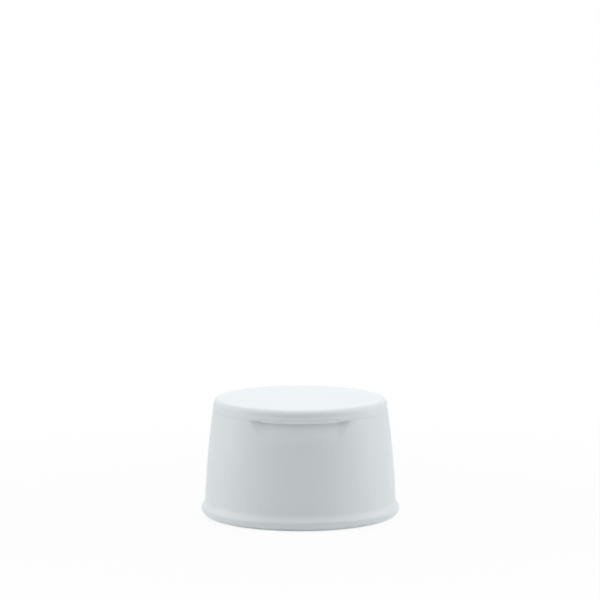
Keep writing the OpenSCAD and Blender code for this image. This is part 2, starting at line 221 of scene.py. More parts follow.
class GeometryTree:
    """A Geometry Nodes tree with named inputs that makes one moulded feature."""

    def __init__(self, name: str) -> None:
        """Starts an empty tree with a geometry output."""
        self.tree = bpy.data.node_groups.new(name, "GeometryNodeTree")
        self.tree.interface.new_socket(
            "Geometry", in_out="OUTPUT", socket_type="NodeSocketGeometry"
        )
        self.inputs = self.tree.nodes.new("NodeGroupInput")
        self.output = self.tree.nodes.new("NodeGroupOutput")
        self.settings: dict[str, object] = {}

    def add_input(self, name: str, kind: str, value: object) -> Socket:
        """Adds a named input.

        Args:
            name: The input's name.
            kind: The socket's type, such as NodeSocketFloat.
            value: What the modifier sets the input to.

        Returns:
            The socket inside the tree that carries the input.
        """
        item = self.tree.interface.new_socket(name, in_out="INPUT", socket_type=kind)
        self.settings[item.identifier] = value
        return self.inputs.outputs[name]

    def link(self, target: Socket, value: Value) -> None:
        """Links a socket to an input, or writes a plain number into it."""
        if isinstance(value, bpy.types.NodeSocket):
            self.tree.links.new(value, target)
        else:
            target.default_value = value

    def node(self, kind: str, **settings: object) -> bpy.types.Node:
        """Adds a node and sets its properties."""
        node = self.tree.nodes.new(kind)
        for key, value in settings.items():
            setattr(node, key, value)
        return node

    def math(self, operation: str, *values: Value) -> Socket:
        """Adds a math node on numbers or sockets and returns its output."""
        node = self.node("ShaderNodeMath", operation=operation)
        for socket, value in zip(node.inputs, values):
            self.link(socket, value)
        return node.outputs[0]

    def mix(self, share: Value, a: Value, b: Value) -> Socket:
        """Number between a and b by a share from 0 to 1."""
        return self.math("MULTIPLY_ADD", share, self.math("SUBTRACT", b, a), a)

    def clamped(self, value: Value) -> Socket:
        """Value kept between 0 and 1."""
        return self.math("MINIMUM", self.math("MAXIMUM", value, 0.0), 1.0)

    def position(self) -> tuple[Socket, Socket, Socket]:
        """The three parts of each point's position."""
        split = self.node("ShaderNodeSeparateXYZ")
        self.link(split.inputs[0], self.node("GeometryNodeInputPosition").outputs[0])
        return split.outputs[0], split.outputs[1], split.outputs[2]

    def moved(self, geometry: Socket, x: Value, y: Value, z: Value) -> Socket:
        """Geometry with each point put at x, y and z."""
        place = self.node("ShaderNodeCombineXYZ")
        for socket, value in zip(place.inputs, (x, y, z)):
            self.link(socket, value)
        node = self.node("GeometryNodeSetPosition")
        self.link(node.inputs["Geometry"], geometry)
        self.link(node.inputs["Position"], place.outputs[0])
        return node.outputs[0]

    def realised(self, geometry: Socket) -> None:
        """Ends the tree with real geometry in its own material.

        Args:
            geometry: The finished geometry, which may still hold instances.
        """
        real = self.node("GeometryNodeRealizeInstances")
        self.link(real.inputs[0], geometry)
        dress = self.node("GeometryNodeSetMaterial")
        self.link(dress.inputs["Geometry"], real.outputs[0])
        self.link(dress.inputs["Material"], self.inputs.outputs["Material"])
        self.link(self.output.inputs["Geometry"], dress.outputs[0])

    def make(self, name: str) -> bpy.types.Mesh:
        """Runs the tree on an empty mesh.

        Args:
            name: Name of the mesh that it makes.

        Returns:
            The result as a plain mesh.
        """
        seed = bpy.data.objects.new(name + "_seed", bpy.data.meshes.new(name + "_seed"))
        bpy.context.scene.collection.objects.link(seed)
        modifier = seed.modifiers.new("moulding", "NODES")
        modifier.node_group = self.tree
        for identifier, value in self.settings.items():
            modifier[identifier] = value
        depsgraph = bpy.context.evaluated_depsgraph_get()
        mesh = bpy.data.meshes.new_from_object(seed.evaluated_get(depsgraph))
        mesh.name = name
        seed.modifiers.remove(modifier)
        bpy.data.objects.remove(seed)
        return mesh


# ---------------------------------------------------------------- finishes


class SurfaceOutput(Enum):
    """Outputs of the shared node group for moulded plastic."""

    COLOUR = "Colour"
    ROUGHNESS = "Roughness"
    HEIGHT = "Height"


@dataclass(frozen=True)
class MouldedFinish:
    """One finish of the cap's white polypropylene."""

    name: str
    colour: tuple[float, float, float] = (0.85, 0.905, 0.925)
    shade: tuple[float, float, float] = (0.82, 0.88, 0.905)
    roughness: float = 0.42
    roughness_spread: float = 0.08
    grain_size: float = 0.22
    grain_depth: float = 0.35
    ripple_size: float = 6.0
    ripple_depth: float = 0.12
    specular: float = 0.45
    subsurface: float = 0.0

    def material(self, group: bpy.types.NodeTree) -> bpy.types.Material:
        """Builds the material from the shared surface group.

        Args:
            group: The node group that gives varying colour, roughness and height.

        Returns:
            The finished material.
        """
        material = bpy.data.materials.new(self.name)
        material.use_nodes = True
        nodes, links = material.node_tree.nodes, material.node_tree.links
        shader = nodes["Principled BSDF"]
        shader.inputs["Specular IOR Level"].default_value = self.specular
        shader.inputs["IOR"].default_value = 1.49
        shader.inputs["Subsurface Weight"].default_value = self.subsurface
        shader.inputs["Subsurface Scale"].default_value = 1.0 * MM
        shader.inputs["Subsurface Radius"].default_value = (1.0, 0.95, 0.9)
        place = nodes.new("ShaderNodeTexCoord")
        surface = nodes.new("ShaderNodeGroup")
        surface.node_tree = group
        links.new(place.outputs["Object"], surface.inputs["Place"])
        surface.inputs["Light Colour"].default_value = (*self.colour, 1.0)
        surface.inputs["Shade Colour"].default_value = (*self.shade, 1.0)
        surface.inputs["Roughness"].default_value = self.roughness
        surface.inputs["Roughness Spread"].default_value = self.roughness_spread
        surface.inputs["Grain Size"].default_value = self.grain_size * MM
        surface.inputs["Grain Depth"].default_value = self.grain_depth
        surface.inputs["Ripple Size"].default_value = self.ripple_size * MM
        surface.inputs["Ripple Depth"].default_value = self.ripple_depth
        bump = nodes.new("ShaderNodeBump")
        bump.inputs["Strength"].default_value = 0.3
        bump.inputs["Distance"].default_value = 0.02 * MM
        links.new(surface.outputs[SurfaceOutput.HEIGHT.value], bump.inputs["Height"])
        links.new(surface.outputs[SurfaceOutput.COLOUR.value], shader.inputs["Base Color"])
        links.new(surface.outputs[SurfaceOutput.ROUGHNESS.value], shader.inputs["Roughness"])
        links.new(bump.outputs["Normal"], shader.inputs["Normal"])
        return material


def moulded_surface_group() -> bpy.types.NodeTree:
    """Builds the shared group that varies moulded plastic over its surface.

    Returns:
        A node group with inputs for colours and sizes, and outputs for colour, roughness and height.
    """
    tree = bpy.data.node_groups.new("moulded surface", "ShaderNodeTree")
    face = tree.interface
    face.new_socket("Place", in_out="INPUT", socket_type="NodeSocketVector")
    for name in ("Light Colour", "Shade Colour"):
        face.new_socket(name, in_out="INPUT", socket_type="NodeSocketColor")
    for name in (
        "Roughness",
        "Roughness Spread",
        "Grain Size",
        "Grain Depth",
        "Ripple Size",
        "Ripple Depth",
    ):
        face.new_socket(name, in_out="INPUT", socket_type="NodeSocketFloat")
    face.new_socket(
        SurfaceOutput.COLOUR.value, in_out="OUTPUT", socket_type="NodeSocketColor"
    )
    for output in (SurfaceOutput.ROUGHNESS, SurfaceOutput.HEIGHT):
        face.new_socket(output.value, in_out="OUTPUT", socket_type="NodeSocketFloat")
    nodes, links = tree.nodes, tree.links
    source = nodes.new("NodeGroupInput").outputs
    target = nodes.new("NodeGroupOutput").inputs

    def calc(operation: str, *values: Value) -> Socket:
        """Adds a math node on numbers or sockets and returns its output."""
        node = nodes.new("ShaderNodeMath")
        node.operation = operation
        for socket, value in zip(node.inputs, values):
            if isinstance(value, bpy.types.NodeSocket):
                links.new(value, socket)
            else:
                socket.default_value = value
        return node.outputs[0]

    def noise(size: Value, detail: float) -> Socket:
        """Adds noise of one grain size, centred on zero."""
        node = nodes.new("ShaderNodeTexNoise")
        node.inputs["Detail"].default_value = detail
        links.new(source["Place"], node.inputs["Vector"])
        links.new(calc("DIVIDE", 1.0, size), node.inputs["Scale"])
        return calc("SUBTRACT", node.outputs["Fac"], 0.5)

    ripple = noise(source["Ripple Size"], 2.0)
    grain = noise(source["Grain Size"], 3.0)
    scuff = noise(calc("MULTIPLY", source["Ripple Size"], 0.23), 4.0)
    blend = nodes.new("ShaderNodeMix")
    blend.data_type = "RGBA"
    links.new(calc("MULTIPLY_ADD", ripple, 1.6, 0.35), blend.inputs["Factor"])
    links.new(source["Light Colour"], blend.inputs[6])
    links.new(source["Shade Colour"], blend.inputs[7])
    links.new(blend.outputs[2], target[SurfaceOutput.COLOUR.value])
    spread = calc("MULTIPLY", source["Roughness Spread"], calc("ADD", scuff, grain))
    links.new(calc("ADD", source["Roughness"], spread), target[SurfaceOutput.ROUGHNESS.value])
    fine = calc("MULTIPLY", grain, source["Grain Depth"])
    wide = calc("MULTIPLY", ripple, source["Ripple Depth"])
    links.new(calc("ADD", fine, wide), target[SurfaceOutput.HEIGHT.value])
    return tree


# ---------------------------------------------------------------- the cap's outer form


@dataclass(frozen=True)
class CapForm:
    """Sizes that the base and the lid share, in millimetres."""

    height: float = 22.8
    seam_z: float = 20.6
    foot_r: float = 19.0
    foot_stand_r: float = 16.8
    foot_inner_r: float = 16.2
    foot_widest_z: float = 1.65
    foot_edge_r: float = 0.7
    foot_top_z: float = 2.9
    wall_low_r: float = 18.33
    wall_high_r: float = 16.62
    wall_bulge: float = 0.25
    edge_r: float = 1.0
    seam_chamfer: float = 0.02
    recess_half_w: float = 7.1
    recess_top_half_w: float = 9.6
    recess_depth: float = 0.8
    recess_low_depth: float = 0.12
    recess_side_h: float = 3.0
    recess_h: float = 4.4
    pad_y: float = 17.228
    pad_half_w: float = 6.6
    slot_half_h: float = 0.3
    notch_half_w: float = 2.4
    notch_y: float = 15.813

    @property
    def shoulder_z(self) -> float:
        """Height at which the top edge starts to round."""
        return self.height - self.edge_r

    @property
    def shoulder_deg(self) -> float:
        """Angle from which the top edge rounds on from the leaning wall."""
        lean = self.wall_low_r - self.wall_high_r + 4.0 * self.wall_bulge
        return math.degrees(math.atan(lean / (self.shoulder_z - self.foot_top_z)))

    @property
    def shoulder_centre_r(self) -> float:
        """Radius of the circle on which the centre of the top edge's rounding lies."""
        turn = math.radians(self.shoulder_deg)
        touch_z = self.shoulder_z + self.edge_r * math.sin(turn)
        return self.wall(touch_z) - self.edge_r * math.cos(turn)

    @property
    def flank_deg(self) -> float:
        """Angle at which the rounding of the foot's edge passes into its slanted flank."""
        across = self.wall_low_r - self.foot_r + self.foot_edge_r
        rise = self.foot_top_z - self.foot_widest_z
        reach = math.acos(self.foot_edge_r / math.hypot(across, rise))
        return math.degrees(math.atan2(rise, across) - reach)

    def wall(self, z: Union[float, np.ndarray]) -> Union[float, np.ndarray]:
        """Radius of the tapered, slightly bulging wall.

        Args:
            z: Height, or an array of heights.

        Returns:
            The radius at each height.
        """
        t = (z - self.foot_top_z) / (self.shoulder_z - self.foot_top_z)
        lean = (self.wall_low_r - self.wall_high_r) * t
        return self.wall_low_r - lean + 4.0 * self.wall_bulge * t * (1.0 - t)

    def columns(self) -> np.ndarray:
        """Directions of the mesh columns, closer together at the recess, hinge and notch.

        Returns:
            Angles in radians from +X, rising over one turn.
        """
        front = spaced(-41.0, 41.0, 0.4) - 90.0
        back = spaced(-25.0, 25.0, 0.4) + 90.0
        side = math.degrees(math.asin(self.notch_half_w / self.pad_y))
        cuts = [90.0 + s * (side + d) for s in (-1, 1) for d in (-0.03, 0.03)]
        rest = np.concatenate([spaced(-49.0, 65.0, 1.2), spaced(115.0, 229.0, 1.2)])
        every = np.concatenate([front, back, cuts, rest])
        return np.radians(np.unique(np.round(every % 360.0, 4)))

    def recess(self, angles: np.ndarray, z: np.ndarray) -> np.ndarray:
        """Depth of the thumb recess below the wall.

        Args:
            angles: Directions from +X, in radians.
            z: Heights, of the same shape once broadcast.

        Returns:
            The depth in millimetres, which is zero away from the recess.
        """
        turn = angles + math.pi / 2.0
        turn = np.abs((turn + math.pi) % (2.0 * math.pi) - math.pi)
        low_z = self.seam_z - self.recess_side_h
        end_z = self.seam_z - self.recess_h
        slope = (self.recess_depth - self.recess_low_depth) / self.recess_side_h
        depth = self.recess_low_depth + slope * (z - low_z)
        run = (z - end_z) / (low_z - end_z)
        tail = self.recess_low_depth * np.sign(run) * np.abs(run) ** 1.7
        floor = np.where(z >= low_z, depth, tail)
        x, top_x = self.recess_half_w, self.recess_top_half_w

        def corner(r: float, across: float, height: float) -> np.ndarray:
            """Point of the recess on a circle, at a distance across and a height."""
            return np.array([across, -math.sqrt(r * r - across * across), height])

        inner = corner(self.wall(self.seam_z) - self.recess_depth, x, self.seam_z)
        outer = corner(self.wall(self.seam_z), top_x, self.seam_z)
        low = corner(self.wall(low_z) - self.recess_low_depth, x, low_z)
        normal = np.cross(outer - inner, low - inner)
        reach = normal @ inner - normal[2] * z
        across = normal[0] * np.sin(turn) - normal[1] * np.cos(turn)
        side = np.where(turn < 1.2, self.wall(z) - reach / across, -5.0)
        cut = soft_min(floor, side, 0.12)
        cut = soft_max(cut, np.zeros_like(cut), 0.12)
        return np.where(z > end_z - 2.5, np.maximum(cut, 0.0), 0.0)

    def pad(self, angles: np.ndarray, wall: np.ndarray, out: np.ndarray) -> np.ndarray:
        """Radius of the wall with the hinge pad laid over it.

        Args:
            angles: Directions from +X, in radians.
            wall: Radius of the plain wall at each point.
            out: Share of the pad's full height over the wall, from 0 to 1, at each point.

        Returns:
            The radius of the pad or of the wall, whichever is further out.
        """
        turn = (angles - math.pi / 2.0 + math.pi) % (2.0 * math.pi) - math.pi
        near = np.abs(turn) < 0.7
        safe = np.where(near, turn, 0.0)
        face_y = self.pad_y + (1.0 - out) * (np.min(wall) - 1.4 - self.pad_y)
        face = face_y / np.cos(safe)
        side = self.pad_half_w / np.maximum(np.abs(np.sin(safe)), 1e-6)
        pad = soft_min(face, side, 0.25)
        return np.where(near & (out > 0.0), np.maximum(wall, pad), wall)

    def notch(self, angles: np.ndarray, wall: np.ndarray) -> np.ndarray:
        """Radius of the wall where the strap's notch is cut into it."""
        turn = (angles - math.pi / 2.0 + math.pi) % (2.0 * math.pi) - math.pi
        half = math.asin(self.notch_half_w / self.pad_y)
        return np.where(np.abs(turn) < half, self.notch_y / np.cos(turn), wall)


# ---------------------------------------------------------------- base


@dataclass
class CapBase:
    """The skirt with its foot, recess, rim, deck, spout, screw sleeve, ribs and hinge pad."""

    form: CapForm
    material: bpy.types.Material
    inner_material: bpy.types.Material
    foot_fillet: float = 0.4
    collar_r: float = 15.32
    collar_inner_r: float = 14.52
    collar_z: float = 21.35
    deck_z: float = 17.2
    deck_top_z: float = 18.5
    skirt_inner_high_r: float = 15.87
    orifice_r: float = 1.6
    spout_low_r: float = 3.6
    spout_high_r: float = 3.0
    spout_z: float = 20.9
    spout_edge_r: float = 0.35
    seal_r: float = 8.7
    seal_t: float = 0.8
    seal_h: float = 2.2
    land_bead_r: float = 10.2
    land_bead_h: float = 0.3
    sleeve_r: float = 13.25
    sleeve_z: float = 1.2
    lead_in_r: float = 12.5
    lead_in_z: float = 3.4
    pad_flat_h: float = 1.6
    pad_slope_h: float = 1.8
    notch_z: float = 18.0
    thread_root_r: float = 12.15
    thread_crest_r: float = 11.2
    thread_pitch: float = 3.175
    thread_turns: float = 1.75
    thread_z: float = 8.244
    thread_root_w: float = 1.9
    thread_crest_w: float = 0.7
    thread_fade_turns: float = 0.111
    thread_start_deg: float = 25.0
    rib_count: int = 12
    rib_t: float = 0.9
    rib_z: float = 4.0
    pieces: list[bpy.types.Object] = field(default_factory=list)

    def outer_heights(self) -> np.ndarray:
        """Heights of the rows up the outer wall, closer together at the recess and pad."""
        slot_z = self.form.seam_z - self.form.slot_half_h
        ends = [self.notch_z - 0.01, self.notch_z, slot_z - 0.01, slot_z]
        top = self.form.seam_z - self.form.seam_chamfer
        low = self.form.foot_top_z + self.foot_fillet
        rows = np.concatenate(
            [spaced(low, 13.5, 1.0)[1:], spaced(13.5, top, 0.14), ends, [slot_z - 0.08]]
        )
        return np.unique(np.round(rows, 4))

    def foot_outline(self) -> list[tuple[float, float]]:
        """Outline from the stand ring over the foot's bead and flank to the wall."""
        form = self.form
        under = (form.foot_r - form.foot_stand_r, form.foot_widest_z)
        bead = (form.foot_r - form.foot_edge_r, form.foot_widest_z)
        round_edge = (form.foot_edge_r, form.foot_edge_r)
        edge = arc_points(bead, round_edge, 0, form.flank_deg, 8)
        corner = np.array([form.wall_low_r, form.foot_top_z])
        flank = corner - np.array(edge[-1])
        start = corner - flank * (self.foot_fillet / np.linalg.norm(flank))
        wall_z = form.foot_top_z + self.foot_fillet
        return [
            *arc_points((form.foot_stand_r, form.foot_widest_z), under, -90, 0, 14),
            *edge[1:],
            *bent_points(start, corner, np.array([form.wall(wall_z), wall_z]), 6),
        ]

    def inner_outline(self) -> list[tuple[float, float]]:
        """Outline from the rim inwards, over the deck, spout and sleeve, to the stand ring."""
        form, small = self.form, 0.08
        seal_in = self.seal_r - self.seal_t
        seal_low = self.deck_z - self.seal_h
        edge = self.spout_edge_r
        lip_centre = (self.spout_high_r - edge, self.spout_z - edge)
        mouth = (self.orifice_r + 0.25, self.spout_z)
        return [
            (self.collar_r + small, form.seam_z),
            (self.collar_r, form.seam_z + small),
            *arc_points((self.collar_r - 0.15, self.collar_z - 0.15), (0.15, 0.15), 0, 90, 3),
            *arc_points(
                (self.collar_inner_r + 0.15, self.collar_z - 0.15), (0.15, 0.15), 90, 180, 3
            ),
            *arc_points(
                (self.collar_inner_r - 0.4, self.deck_top_z + 0.4), (0.4, 0.4), 0, -90, 4
            ),
            *arc_points(
                (self.spout_low_r + 0.5, self.deck_top_z + 0.5), (0.5, 0.5), -90, -180, 5
            ),
            *arc_points(lip_centre, (edge, edge), 0, 90, 6),
            mouth,
            (self.orifice_r + 0.06, self.spout_z - 0.1),
            (self.orifice_r, self.spout_z - 0.3),
            (self.orifice_r, self.deck_z + 0.2),
            (self.orifice_r + 0.2, self.deck_z),
            (seal_in - 0.2, self.deck_z),
            (seal_in, self.deck_z - 0.2),
            *arc_points((seal_in + 0.2, seal_low + 0.2), (0.2, 0.2), 180, 270, 3),
            (self.seal_r - self.seal_t / 2, seal_low),
            (self.seal_r, seal_low + self.seal_t / 2),
            (self.seal_r, self.deck_z - 0.2),
            (self.seal_r + 0.2, self.deck_z),
            *arc_points(
                (self.land_bead_r, self.deck_z),
                (self.land_bead_h, self.land_bead_h),
                180,
                360,
                8,
            ),
            (self.thread_root_r - 0.3, self.deck_z),
            (self.thread_root_r, self.deck_z - 0.3),
            (self.thread_root_r, self.lead_in_z),
            (self.lead_in_r, self.lead_in_z - 0.35),
            (self.lead_in_r, self.sleeve_z + 0.15),
            (self.lead_in_r + 0.15, self.sleeve_z),
            (self.sleeve_r - 0.15, self.sleeve_z),
            (self.sleeve_r, self.sleeve_z + 0.15),
            *arc_points((self.sleeve_r + 0.3, self.deck_z - 0.3), (0.3, 0.3), 180, 90, 3),
            *arc_points((self.skirt_inner_high_r - 0.3, self.deck_z - 0.3), (0.3, 0.3), 90, 0, 3),
            (form.foot_inner_r, 0.2),
            (form.foot_inner_r + 0.15, 0.0),
        ]

    def build_shell(self) -> None:
        """Builds the skirt, rim, deck, spout and screw sleeve as one turned wall."""
        form = self.form
        directions = form.columns()
        columns = len(directions)
        angles, z = np.meshgrid(directions, self.outer_heights(), indexing="ij")
        wall = form.wall(z) - form.recess(angles, z)
        slot_z = form.seam_z - form.slot_half_h
        flat_z = slot_z - self.pad_flat_h
        rise = (z - flat_z + self.pad_slope_h) / self.pad_slope_h
        out = np.where(z > slot_z - 0.005, 0.0, np.clip(rise, 0.0, 1.0))
        wall = form.pad(angles, wall, out)
        wall = np.where(z > self.notch_z - 0.005, form.notch(angles, wall), wall)
        rim = wall[:, -1:] - form.seam_chamfer
        outlines = (np.array(self.foot_outline()).T, np.array(self.inner_outline()).T)
        (foot_r, foot_z), (inside_r, inside_z) = (
            (np.tile(r, (columns, 1)), np.tile(h, (columns, 1))) for r, h in outlines
        )
        radii = np.concatenate([foot_r, wall, rim, inside_r], axis=1)
        heights = np.concatenate(
            [foot_z, z, np.full_like(rim, form.seam_z), inside_z], axis=1
        )
        mesh = turned_mesh("cap_skirt", directions, radii, heights, loop=True)
        finish_mesh(mesh, 38.0)
        self.pieces.append(add_piece(mesh, self.material))

    def build_thread(self) -> None:
        """Builds the screw thread with a Geometry Nodes tree that winds its section round."""
        sketch = GeometryTree("screw thread")
        number = "NodeSocketFloat"
        steps = sketch.add_input("Steps", "NodeSocketInt", 160)
        turns = sketch.add_input("Turns", number, self.thread_turns)
        pitch = sketch.add_input("Pitch", number, self.thread_pitch * MM)
        root_r = sketch.add_input("Root Radius", number, (self.thread_root_r + 0.06) * MM)
        crest_r = sketch.add_input("Crest Radius", number, self.thread_crest_r * MM)
        root_w = sketch.add_input("Root Width", number, self.thread_root_w * MM)
        crest_w = sketch.add_input("Crest Width", number, self.thread_crest_w * MM)
        fade = sketch.add_input("Fade", number, self.thread_fade_turns)
        start = sketch.add_input("Start Angle", number, math.radians(self.thread_start_deg))
        low_z = sketch.add_input("Start Height", number, self.thread_z * MM)
        sketch.add_input("Material", "NodeSocketMaterial", self.inner_material)
        grid = sketch.node("GeometryNodeMeshGrid")
        sketch.link(grid.inputs["Size X"], 1.0)
        sketch.link(grid.inputs["Size Y"], 1.0)
        sketch.link(grid.inputs["Vertices X"], steps)
        sketch.link(grid.inputs["Vertices Y"], 5)
        px, py, _ = sketch.position()
        along = sketch.math("MULTIPLY", sketch.math("ADD", px, 0.5), turns)
        ahead = sketch.math("SUBTRACT", turns, along)
        near_end = sketch.math("DIVIDE", sketch.math("MINIMUM", along, ahead), fade)
        share = sketch.clamped(near_end)
        v = sketch.math("MULTIPLY", sketch.math("ADD", py, 0.5), 4.0)
        out = sketch.clamped(sketch.math("MINIMUM", v, sketch.math("SUBTRACT", 3.0, v)))
        upper = sketch.math(
            "MULTIPLY",
            sketch.math("GREATER_THAN", v, 1.5),
            sketch.math("LESS_THAN", v, 3.5),
        )
        sign = sketch.math("MULTIPLY_ADD", upper, 2.0, -1.0)
        width = sketch.math("MULTIPLY", sketch.mix(out, root_w, crest_w), 0.5)
        height = sketch.math("MULTIPLY", sketch.math("MULTIPLY", sign, width), share)
        radius = sketch.mix(sketch.math("MULTIPLY", out, share), root_r, crest_r)
        angle = sketch.math("MULTIPLY_ADD", along, 2.0 * math.pi, start)
        z = sketch.math("ADD", sketch.math("MULTIPLY_ADD", along, pitch, low_z), height)
        wound = sketch.moved(
            grid.outputs["Mesh"],
            sketch.math("MULTIPLY", radius, sketch.math("COSINE", angle)),
            sketch.math("MULTIPLY", radius, sketch.math("SINE", angle)),
            z,
        )
        merge = sketch.node("GeometryNodeMergeByDistance")
        sketch.link(merge.inputs["Geometry"], wound)
        sketch.link(merge.inputs["Distance"], 0.0005 * MM)
        sketch.realised(merge.outputs[0])
        mesh = sketch.make("screw_thread")
        finish_mesh(mesh, 35.0)
        piece = add_piece(mesh, self.inner_material)
        soften(piece, 0.12, 2)
        self.pieces.append(piece)

    def build_ribs(self) -> None:
        """Builds the ribs between sleeve and skirt with a Geometry Nodes tree."""
        sketch = GeometryTree("skirt ribs")
        number = "NodeSocketFloat"
        form = self.form
        count = sketch.add_input("Rib Count", "NodeSocketInt", self.rib_count)
        thick = sketch.add_input("Thickness", number, self.rib_t * MM)
        inner = sketch.add_input("Inner Radius", number, (self.sleeve_r - 0.3) * MM)
        low_r = sketch.add_input("Outer Radius Low", number, (form.foot_inner_r + 0.1) * MM)
        high_r = sketch.add_input(
            "Outer Radius High", number, (self.skirt_inner_high_r + 0.2) * MM
        )
        low_z = sketch.add_input("Low Height", number, self.rib_z * MM)
        high_z = sketch.add_input("High Height", number, (self.deck_z + 0.2) * MM)
        hollow = sketch.add_input("Hollow", number, 0.5 * MM)
        sketch.add_input("Material", "NodeSocketMaterial", self.inner_material)
        block = sketch.node("GeometryNodeMeshCube")
        sketch.link(block.inputs["Vertices X"], 9)
        sketch.link(block.inputs["Vertices Z"], 3)
        px, py, pz = sketch.position()
        across = sketch.math("ADD", px, 0.5)
        up = sketch.math("ADD", pz, 0.5)
        bow = sketch.math(
            "MULTIPLY",
            sketch.math("MULTIPLY", across, sketch.math("SUBTRACT", 1.0, across)),
            sketch.math("MULTIPLY", hollow, 4.0),
        )
        draft = sketch.mix(up, 0.82, 1.0)
        shaped = sketch.moved(
            block.outputs["Mesh"],
            sketch.mix(across, inner, sketch.mix(up, low_r, high_r)),
            sketch.math("MULTIPLY", sketch.math("MULTIPLY", py, thick), draft),
            sketch.mix(up, sketch.math("ADD", low_z, bow), high_z),
        )
        points = sketch.node("GeometryNodePoints")
        sketch.link(points.inputs["Count"], count)
        step = sketch.math("DIVIDE", 2.0 * math.pi, count)
        index = sketch.node("GeometryNodeInputIndex").outputs[0]
        turn = sketch.node("ShaderNodeCombineXYZ")
        sketch.link(turn.inputs[2], sketch.math("MULTIPLY", sketch.math("ADD", index, 0.5), step))
        spread = sketch.node("GeometryNodeInstanceOnPoints")
        sketch.link(spread.inputs["Points"], points.outputs[0])
        sketch.link(spread.inputs["Instance"], shaped)
        rotation = sketch.node("FunctionNodeEulerToRotation")
        sketch.link(rotation.inputs[0], turn.outputs[0])
        sketch.link(spread.inputs["Rotation"], rotation.outputs[0])
        sketch.realised(spread.outputs[0])
        mesh = sketch.make("skirt_ribs")
        finish_mesh(mesh, 35.0)
        piece = add_piece(mesh, self.inner_material)
        soften(piece, 0.15, 2)
        self.pieces.append(piece)

    def build(self) -> list[bpy.types.Object]:
        """Builds every piece of the base and puts it on its body.

        Returns:
            The pieces.
        """
        self.build_shell()
        self.build_thread()
        self.build_ribs()
        for piece in self.pieces:
            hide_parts("base")
            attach(piece, BASE_BODY)
        return self.pieces


def soften(piece: bpy.types.Object, width: float, segments: int) -> None:
    """Rounds a piece's sharp edges.

    Args:
        piece: The piece.
        width: Width of the rounding, in millimetres.
        segments: Number of stretches across the rounding.
    """
    bevel = piece.modifiers.new("rounded edges", "BEVEL")
    bevel.width = width * MM
    bevel.segments = segments
    bevel.limit_method = "ANGLE"
    bevel.angle_limit = math.radians(35.0)
    bevel.harden_normals = True
    bevel.use_clamp_overlap = True


# ---------------------------------------------------------------- lid


